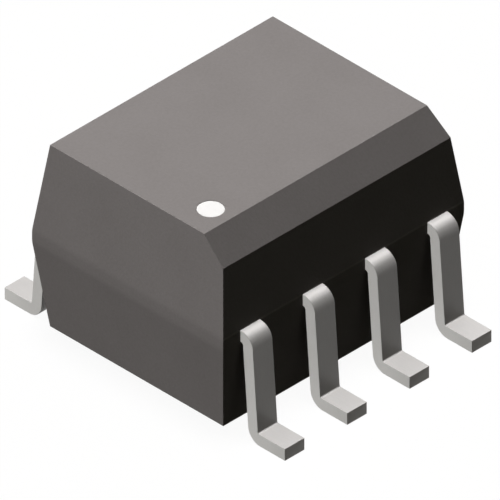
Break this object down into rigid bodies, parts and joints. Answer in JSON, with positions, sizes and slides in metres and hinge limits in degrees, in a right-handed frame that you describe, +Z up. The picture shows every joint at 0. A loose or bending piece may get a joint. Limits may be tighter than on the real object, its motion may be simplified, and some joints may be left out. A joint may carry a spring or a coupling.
{
  "type": "soic chip",
  "caption": "Tall small-outline chip: a charcoal moulded block with drafted sides, one bevelled top edge, a white dot, and gull-wing leads along both long sides.",
  "frame": {"origin": "centre of the seating plane, under the middle of the body, where the undersides of the feet lie", "axes": "+X across the rows of leads, towards the side of leads 1 to 4 with the bevelled edge; +Y along the rows, away from lead 1; +Z up from the board"},
  "size_m": [0.0058, 0.005, 0.0033],
  "materials": {
    "outer_mould": "charcoal moulded epoxy, matte",
    "inner_mould": "translucent white epoxy",
    "dot_ink": "white ink",
    "tinned_lead": "matte tin plate over copper alloy",
    "emitter_die": "polished semiconductor",
    "detector_die": "polished silicon",
    "die_adhesive": "silver-filled epoxy",
    "gold_wire": "drawn gold wire"
  },
  "bodies": {
    "root": {"outer_mould": "outer_mould", "inner_mould": "inner_mould", "pin_one_dot": "dot_ink", "lead_1": "tinned_lead", "lead_2": "tinned_lead", "lead_3": "tinned_lead", "lead_4": "tinned_lead", "lead_5": "tinned_lead", "lead_6": "tinned_lead", "lead_7": "tinned_lead", "lead_8": "tinned_lead", "emitter_die_a": "emitter_die", "emitter_die_b": "emitter_die", "detector_die_a": "detector_die", "detector_die_b": "detector_die", "emitter_adhesive_a": "die_adhesive", "emitter_adhesive_b": "die_adhesive", "detector_adhesive_a": "die_adhesive", "detector_adhesive_b": "die_adhesive", "emitter_wire_a": "gold_wire", "emitter_wire_b": "gold_wire", "detector_wire_a": "gold_wire", "detector_wire_b": "gold_wire"}
  },
  "joints": []
}
